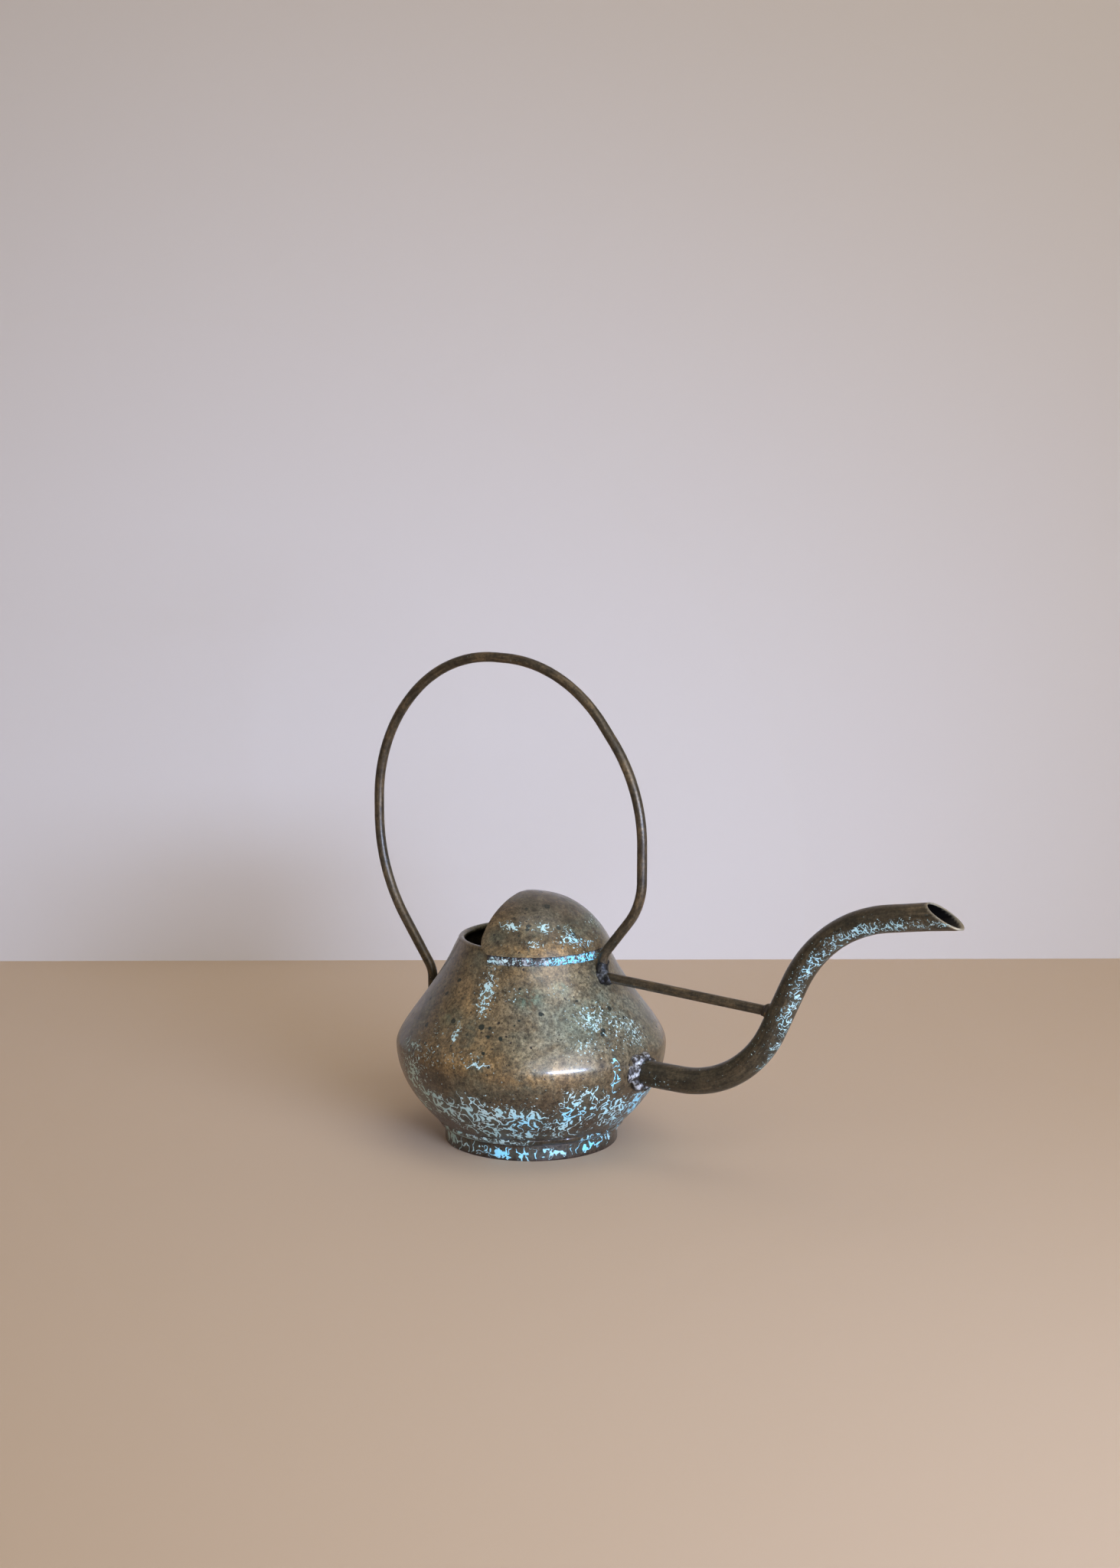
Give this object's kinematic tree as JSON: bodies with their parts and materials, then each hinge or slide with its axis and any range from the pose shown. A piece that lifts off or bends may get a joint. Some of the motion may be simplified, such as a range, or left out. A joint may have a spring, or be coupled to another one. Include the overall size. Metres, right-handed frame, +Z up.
{
  "type": "watering can",
  "caption": "Soldered copper watering can with a round belly, foot ring, half-dome hood over the mouth, bent rod hoop handle and a long braced spout with a slant-cut tip.",
  "frame": {"origin": "centre of the foot ring on the surface that the can stands on", "axes": "+X from the can's axis towards the spout's tip, +Z up, +Y to the left of the spout"},
  "size_m": [0.3758, 0.15, 0.2711],
  "materials": {
    "aged_copper": "weathered sheet copper with a brown and olive skin and patches of verdigris",
    "copper_tube": "weathered copper tube, dark olive brown with green bloom underneath",
    "copper_rod": "weathered copper rod, dark brown",
    "solder": "dull soft solder with pale and turquoise bloom"
  },
  "bodies": {
    "root": {"vessel_shell": "aged_copper", "base_disc": "aged_copper", "foot_ring": "aged_copper", "rim_wire": "copper_rod", "hood": "aged_copper", "spout_tube": "copper_tube", "handle_hoop": "copper_rod", "spout_brace": "copper_rod", "foot_solder": "solder", "base_solder": "solder", "hood_solder": "solder", "spout_solder": "solder", "rear_foot_solder": "solder", "front_foot_solder": "solder", "brace_solder": "solder"}
  },
  "joints": []
}
